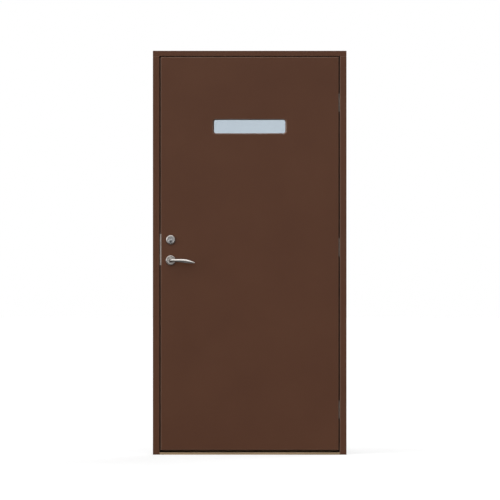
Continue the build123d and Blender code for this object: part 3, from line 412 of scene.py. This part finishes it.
foam, tree, output = new_material("rigid_foam_board")
cells = add_node(tree, "ShaderNodeTexVoronoi", Vector=object_place(tree),
                 Scale=1 / cell_size).outputs["Distance"]
surface(tree, output, Base_Color=blend(tree, cells, "E6D9A8", "CDBD86"), Roughness=0.85,
        Normal=dented(tree, cells, cell_depth, 0.6))
finish_nodes(foam, "insulation_core")

# %% [markdown]
# Float glass
#
# The slot has a sealed unit of three panes of clear float glass. Clear float is slightly
# green-blue, and three panes with a coating on one of them take enough light for the white
# studio behind to look pale blue-grey. Each pane is a real solid, so its colour is set a little
# at a time and adds up over the six faces.

# %% Glass
roller_wave = 90 * mm
roller_depth = 0.02 * mm
glass, tree, output = new_material("clear_float_glass")
waves = noise(tree, object_place(tree), roller_wave, 1.0)
surface(tree, output, Base_Color=colour("E6EBEF"), Transmission_Weight=1.0, Roughness=0.0, IOR=1.5,
        Normal=dented(tree, waves, roller_depth, 0.3))
finish_nodes(glass, "outer_pane", "middle_pane", "inner_pane")

# %% [markdown]
# Metals
#
# Four metals show. The levers, rosettes and the ring are cast zinc with brushed chrome plate:
# pale, with a soft sheen and fine lines along the lever. The cylinder is turned brass with
# satin chrome, so it looks greyer. Its plug is nickel silver, coloured darker than the ring, and
# it reads as the dark spot low on the collar. Hinges, strike, guard plate, lock and screws are
# zinc-plated steel, a cloudy grey with rolling lines along the strip; its warm tint is a painted
# reflection of the brown paint beside it.

# %% Metal


def plated(name, light, dark, rough_low, rough_high, patch, line_sizes, line_depth):
    """Plated metal with cloudy plating and fine lines."""
    made, tree, output = new_material(name)
    place = object_place(tree)
    cloud = noise(tree, place, patch, 4.0)
    lines = noise(tree, drawn_out(tree, place, line_sizes), 1.0, 3.0)
    surface(tree, output, Base_Color=blend(tree, cloud, light, dark), Metallic=1.0,
            Roughness=ramp(tree, cloud, noise_low, noise_high, rough_low, rough_high),
            Normal=dented(tree, lines, line_depth, 0.5))
    return made


chrome = plated("brushed_chrome_on_cast_zinc", "BEBAB6", "A9A5A1", 0.36, 0.44, 18 * mm,
                (14 * mm, 1.2 * mm, 1.2 * mm), 0.02 * mm)
satin = plated("satin_chrome_on_turned_brass", "BDBCBC", "A2A2A4", 0.26, 0.36, 8 * mm,
               (1.0 * mm, 1.0 * mm, 1.0 * mm), 0.02 * mm)
# The plug is coloured darker than the ring and the collar
plug = plated("darker_nickel_silver_plug", "6A6868", "545252", 0.34, 0.46, 4 * mm,
              (0.8 * mm, 0.8 * mm, 0.8 * mm), 0.02 * mm)
# Grey zinc with a warm tint, painted in as the reflection of the brown paint around it
zinc = plated("zinc_plated_steel", "A89E96", "8C827B", 0.34, 0.5, 12 * mm,
              (1.5 * mm, 1.5 * mm, 40 * mm), 0.03 * mm)
finish_nodes(chrome, "outer_rosette", "inner_rosette", "cylinder_ring", "thumb_turn_rosette",
             "thumb_turn")
finish_nodes(satin, "cylinder_housing")
finish_nodes(plug, "key_plug")
zinc_nodes = [part["node"] for part in frame["record"]["subparts"]
              if part["material_slot"] == "zinc_steel"]
finish_nodes(zinc, *zinc_nodes)

# %% [markdown]
# The cast levers
#
# Each lever is one casting: a round neck out of the rosette, a quarter bend, and a blade that
# swells, thins and droops to a soft tip. Its lower front is hollowed, which leaves the bright
# band along the top and the shade under it. The CAD solid has flat-sided sections, so here the
# same line is modelled smooth: a ring of points is drawn out, spun round the bend and drawn on
# with a new size at each step, and subdivision rounds it. It could also be a bevelled curve,
# but a curve can't hollow one side.

# %% Lever
rosette_low, rosette_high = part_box("outer_rosette")
lock_x = (rosette_low.x + rosette_high.x) / 2
handle_z = (rosette_low.z + rosette_high.z) / 2
neck_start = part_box("outer_lever")[1].y
neck_radius = 9.0 * mm
shank_radius = 7.4 * mm
neck_length = 23 * mm
taper_length = 8 * mm
bend_radius = 15 * mm
grip_reach = 52 * mm
grip_y = front_plane - grip_reach
ring_points = 16
bend_steps = 5
foot_edge = 0.6 * mm
casting_levels = 3
# How near a section its points are picked, and how far in front and how low the hollow starts
section_reach = 0.1 * mm
front_share, low_share = 0.2, 0.1
# Each step of the blade: distance from the axis, drop, height, depth and hollow, in mm
blade_in_mm = [
    (24, 0.6, 14.8, 13.6, 0.0), (36, 1.1, 15.6, 12.6, 0.4), (50, 1.9, 17.6, 11.8, 1.0),
    (66, 3.1, 19.6, 11.0, 1.6), (82, 4.9, 19.8, 10.0, 1.8), (96, 7.4, 17.0, 8.8, 1.4),
    (108, 10.0, 12.2, 7.2, 0.8), (117, 11.9, 7.6, 5.4, 0.3), (123, 13.0, 4.4, 3.6, 0.0),
    (125.4, 13.5, 2.4, 2.2, 0.0),
]
blade_steps = [[value * mm for value in step] for step in blade_in_mm]
print("lever about", round(blade_steps[-1][0] / mm), "mm long, drawn in", len(blade_steps), "steps")

# %% [markdown]
# Small helpers work on a piece in edit mode: they pick points by a rule, find the middle of the
# picked ring, draw a ring out to a new place and size, and round the finished cage.

# %% Helpers for drawing out


def chosen_points(piece):
    """The selected points of the piece in edit mode."""
    return [v for v in bmesh.from_edit_mesh(piece.data).verts if v.select]


def middle_of(points):
    """The middle of some points."""
    return sum((v.co for v in points), Vector()) / len(points)


def draw_out(move, scale, pivot):
    """Extrudes the selected ring by a move and resizes the new ring about a pivot."""
    bpy.ops.mesh.extrude_region_move(TRANSFORM_OT_translate={"value": tuple(move)})
    bpy.ops.transform.resize(value=scale, center_override=pivot)


def select_points(piece, wanted):
    """Selects only the points for which wanted is true."""
    mesh = bmesh.from_edit_mesh(piece.data)
    for part in (mesh.verts, mesh.edges, mesh.faces):
        for item in part:
            item.select = False
    for v in mesh.verts:
        v.select = wanted(v.co)
    mesh.select_flush_mode()
    bmesh.update_edit_mesh(piece.data)


def settle(piece, levels):
    """Rounds a finished cage, shades it smooth and leaves nothing live."""
    bpy.context.view_layer.objects.active = piece
    rounding = piece.modifiers.new("rounding", "SUBSURF")
    rounding.levels = rounding.render_levels = levels
    bpy.ops.object.modifier_apply(modifier=rounding.name)
    bpy.ops.object.shade_smooth()


# %% [markdown]
# The casting starts as a filled circle on the rosette. It is drawn out as the neck, spun
# through the quarter bend, and drawn on through the steps of the blade.

# %% Draw the lever out
bpy.ops.object.select_all(action="DESELECT")
bpy.ops.mesh.primitive_circle_add(vertices=ring_points, radius=neck_radius, fill_type="NGON",
                                  location=(lock_x, neck_start, handle_z),
                                  rotation=(math.radians(90), 0, 0))
lever = bpy.context.object
lever.name = "outer_lever_casting"
bpy.ops.object.transform_apply(location=True, rotation=True, scale=True)
bpy.ops.object.mode_set(mode="EDIT")
bpy.ops.mesh.select_mode(type="VERT")
bpy.ops.mesh.select_all(action="SELECT")
same = (1, 1, 1)
thinner = shank_radius / neck_radius
draw_out((0, -foot_edge, 0), same, (0, 0, 0))
draw_out((0, foot_edge - neck_length, 0), same, (0, 0, 0))
draw_out((0, -taper_length, 0), (thinner, 1, thinner), (lock_x, 0, handle_z))
bend_start = grip_y + bend_radius
draw_out((0, bend_start - middle_of(chosen_points(lever)).y, 0), same, (0, 0, 0))
bpy.ops.mesh.spin(steps=bend_steps, angle=-math.radians(90), axis=(0, 0, 1),
                  center=(lock_x + bend_radius, bend_start, handle_z))
print("bend ends at", [round(v / mm, 1) for v in middle_of(chosen_points(lever))])
high = deep = 2 * shank_radius
for reach, drop, height, depth, hollow in blade_steps:
    goal = Vector((lock_x + reach, grip_y, handle_z - drop))
    move = goal - middle_of(chosen_points(lever))
    draw_out(move, (1, depth / deep, height / high), goal)
    high, deep = height, depth
bpy.ops.mesh.edge_face_add()
bpy.ops.object.mode_set(mode="OBJECT")
print("lever cage", len(lever.data.vertices), "points")

# %% [markdown]
# The points low on the front of each section are pushed back a little, which hollows the blade,
# and then subdivision rounds the whole cage. Sculpting could do the same, but a push of a known
# depth keeps to the sizes.

# %% Hollow the lower front of the blade
bpy.ops.object.mode_set(mode="EDIT")
for reach, drop, height, depth, hollow in blade_steps:
    at_x = lock_x + reach
    front_y = grip_y - depth * front_share
    low_z = handle_z - drop - low_share * height
    if hollow:
        select_points(lever, lambda p: abs(p.x - at_x) < section_reach
                      and p.y < front_y and p.z < low_z)
        bpy.ops.transform.translate(value=(0, hollow, 0))
bpy.ops.mesh.select_all(action="SELECT")
bpy.ops.mesh.normals_make_consistent(inside=False)
bpy.ops.object.mode_set(mode="OBJECT")
settle(lever, casting_levels)
lever.data.materials.append(chrome)
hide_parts("outer_lever")
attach(lever, "levers")
print("outer lever", len(lever.data.polygons), "faces")

# %% [markdown]
# The lever on the push side is the same casting the other way round, so the finished mesh is
# copied and mirrored across the middle of the leaf, and its faces are turned outwards again.

# %% Inner lever
leaf_middle = (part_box("outer_skin")[0].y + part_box("inner_skin")[1].y) / 2
inner_lever = lever.copy()
inner_lever.data = lever.data.copy()
inner_lever.name = "inner_lever_casting"
scene.collection.objects.link(inner_lever)
bpy.ops.object.select_all(action="DESELECT")
inner_lever.select_set(True)
bpy.context.view_layer.objects.active = inner_lever
bpy.ops.object.mode_set(mode="EDIT")
bpy.ops.mesh.select_all(action="SELECT")
bpy.ops.transform.resize(value=(1, -1, 1), center_override=(0, leaf_middle, 0))
bpy.ops.mesh.normals_make_consistent(inside=False)
bpy.ops.object.mode_set(mode="OBJECT")
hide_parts("inner_lever")
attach(inner_lever, "levers")
print("inner lever", len(inner_lever.data.polygons), "faces")

# %% [markdown]
# Countersunk screws with a cross recess
#
# The screws of the hinges, lock, strike, guard and glazing are zinc-plated wood screws. The CAD
# solids have plain heads, and what tells the eye that they are screws is the cross recess and
# the soft rim. One screw of each size is modelled: a cone is drawn on to a shank and a point,
# its rim is bevelled, and two tapered bars are cut out of the head. A drawn-on dark cross would
# be quicker but would look flat when the door stands open.

# %% One screw
screw_sides = 24
# The point, in radii of the shank, and its size beside the shank
point_start, point_length, point_size = 4, 3.6, 0.12
# The rim and the recess, in radii of the head, and the recess in depths of the head
rim_round, recess_length, recess_width, recess_depth = 0.18, 1.24, 0.26, 1.3
recess_taper = 0.45
smooth_below = math.radians(35)


def cross_screw(name, head_radius, shank, length):
    """A screw that points down, with the middle of its head at the origin."""
    bpy.ops.object.select_all(action="DESELECT")
    sink = head_radius - shank
    halfway = -sink * 0.5
    bpy.ops.mesh.primitive_cone_add(vertices=screw_sides, radius1=shank, radius2=head_radius, depth=sink,
                                    location=(0, 0, -sink / 2))
    screw = bpy.context.object
    screw.name = name
    bpy.ops.object.transform_apply(location=True, rotation=True, scale=True)
    bpy.ops.object.mode_set(mode="EDIT")
    bpy.ops.mesh.select_mode(type="VERT")
    select_points(screw, lambda p: p.z < halfway)
    draw_out((0, 0, sink + point_start * shank - length), same, (0, 0, 0))
    draw_out((0, 0, -point_length * shank), (point_size, point_size, 1), (0, 0, -length))
    select_points(screw, lambda p: p.z > halfway)
    bpy.ops.mesh.bevel(offset=rim_round * head_radius, segments=2, affect="EDGES")
    bpy.ops.object.mode_set(mode="OBJECT")
    for turn in (0, 90):
        bpy.ops.mesh.primitive_cube_add(size=1, location=(0, 0, 0),
                                        rotation=(0, 0, math.radians(turn)),
                                        scale=(recess_length * head_radius,
                                               recess_width * head_radius, sink * recess_depth))
        bar = bpy.context.object
        bpy.ops.object.transform_apply(location=True, rotation=True, scale=True)
        bpy.ops.object.mode_set(mode="EDIT")
        select_points(bar, lambda p: p.z < 0)
        bpy.ops.transform.resize(value=(recess_taper, recess_taper, 1),
                                 center_override=(0, 0, 0))
        bpy.ops.object.mode_set(mode="OBJECT")
        cut = screw.modifiers.new("recess", "BOOLEAN")
        cut.operation = "DIFFERENCE"
        cut.object = bar
        bpy.context.view_layer.objects.active = screw
        bpy.ops.object.modifier_apply(modifier=cut.name)
        bpy.data.objects.remove(bar)
    bpy.ops.object.select_all(action="DESELECT")
    screw.select_set(True)
    bpy.ops.object.shade_smooth_by_angle(angle=smooth_below)
    print(name, len(screw.data.polygons), "faces")
    return screw


# %% [markdown]
# The places of the screws are read from the CAD solids, so that each finished screw fills its
# own bore. In a merged copy of the mesh every loose solid is one screw: its long side is the
# axis, and the end with the wider ring of points is the head. No two screws in a real door stop
# at the same turn, so each copy is turned a little further.

# %% Fit the screws
merge_reach = 0.001 * mm
level_reach = 0.01 * mm
turn_between = 0.7


def screw_places(node):
    """The head centre and the outward direction of each screw in a CAD node."""
    mesh = bmesh.new()
    mesh.from_mesh(nodes[node].data)
    bmesh.ops.remove_doubles(mesh, verts=mesh.verts, dist=merge_reach)
    left = set(mesh.verts)
    places = []
    while left:
        reached = [left.pop()]
        island = []
        while reached:
            point = reached.pop()
            island.append(point.co.copy())
            for edge in point.link_edges:
                other = edge.other_vert(point)
                if other in left:
                    left.remove(other)
                    reached.append(other)
        low = Vector([min(p[i] for p in island) for i in range(3)])
        high = Vector([max(p[i] for p in island) for i in range(3)])
        size = high - low
        axis = max(range(3), key=lambda i: size[i])
        centre = (low + high) / 2
        ends = []
        for level, way in ((low[axis], -1), (high[axis], 1)):
            ring = [p for p in island if abs(p[axis] - level) < level_reach]
            off = max(math.dist([p[i] for i in range(3) if i != axis],
                                [centre[i] for i in range(3) if i != axis]) for p in ring)
            ends.append((off, level, way))
        off, level, way = max(ends)
        centre[axis] = level
        outward = Vector((0, 0, 0))
        outward[axis] = way
        places.append((centre, outward))
    mesh.free()
    return sorted(places, key=lambda place: tuple(place[0]))


def fit_screws(model, node, body):
    """Stands copies of a screw for all the screws of a CAD node."""
    copies = []
    for i, (centre, outward) in enumerate(screw_places(node)):
        turn = Vector((0, 0, 1)).rotation_difference(outward).to_matrix().to_4x4()
        one = model.copy()
        one.data = model.data.copy()
        spun = Matrix.Rotation(turn_between * i, 4, "Z")
        one.data.transform(Matrix.Translation(centre) @ turn @ spun)
        scene.collection.objects.link(one)
        copies.append(one)
    bpy.ops.object.select_all(action="DESELECT")
    for one in copies:
        one.select_set(True)
    bpy.context.view_layer.objects.active = copies[0]
    bpy.ops.object.join()
    row = bpy.context.object
    row.name = node + "_cross_recess"
    row.data.materials.append(zinc)
    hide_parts(node)
    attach(row, body)
    print(node, len(copies), "screws")


wood_screw = cross_screw("wood_screw", 4.2 * mm, 2.0 * mm, 26 * mm)
short_screw = cross_screw("short_screw", 4.2 * mm, 2.0 * mm, 18 * mm)
long_screw = cross_screw("long_screw", 5.0 * mm, 2.5 * mm, 70 * mm)
fit_screws(wood_screw, "strike_screws", "frame")
fit_screws(wood_screw, "hinge_box_screws", "frame")
fit_screws(wood_screw, "hinge_arm_screws", "leaf")
fit_screws(wood_screw, "edge_screws", "leaf")
fit_screws(short_screw, "glazing_frame_screws", "leaf")
fit_screws(long_screw, "frame_screws", "frame")
for model in (wood_screw, short_screw, long_screw):
    bpy.data.objects.remove(model)
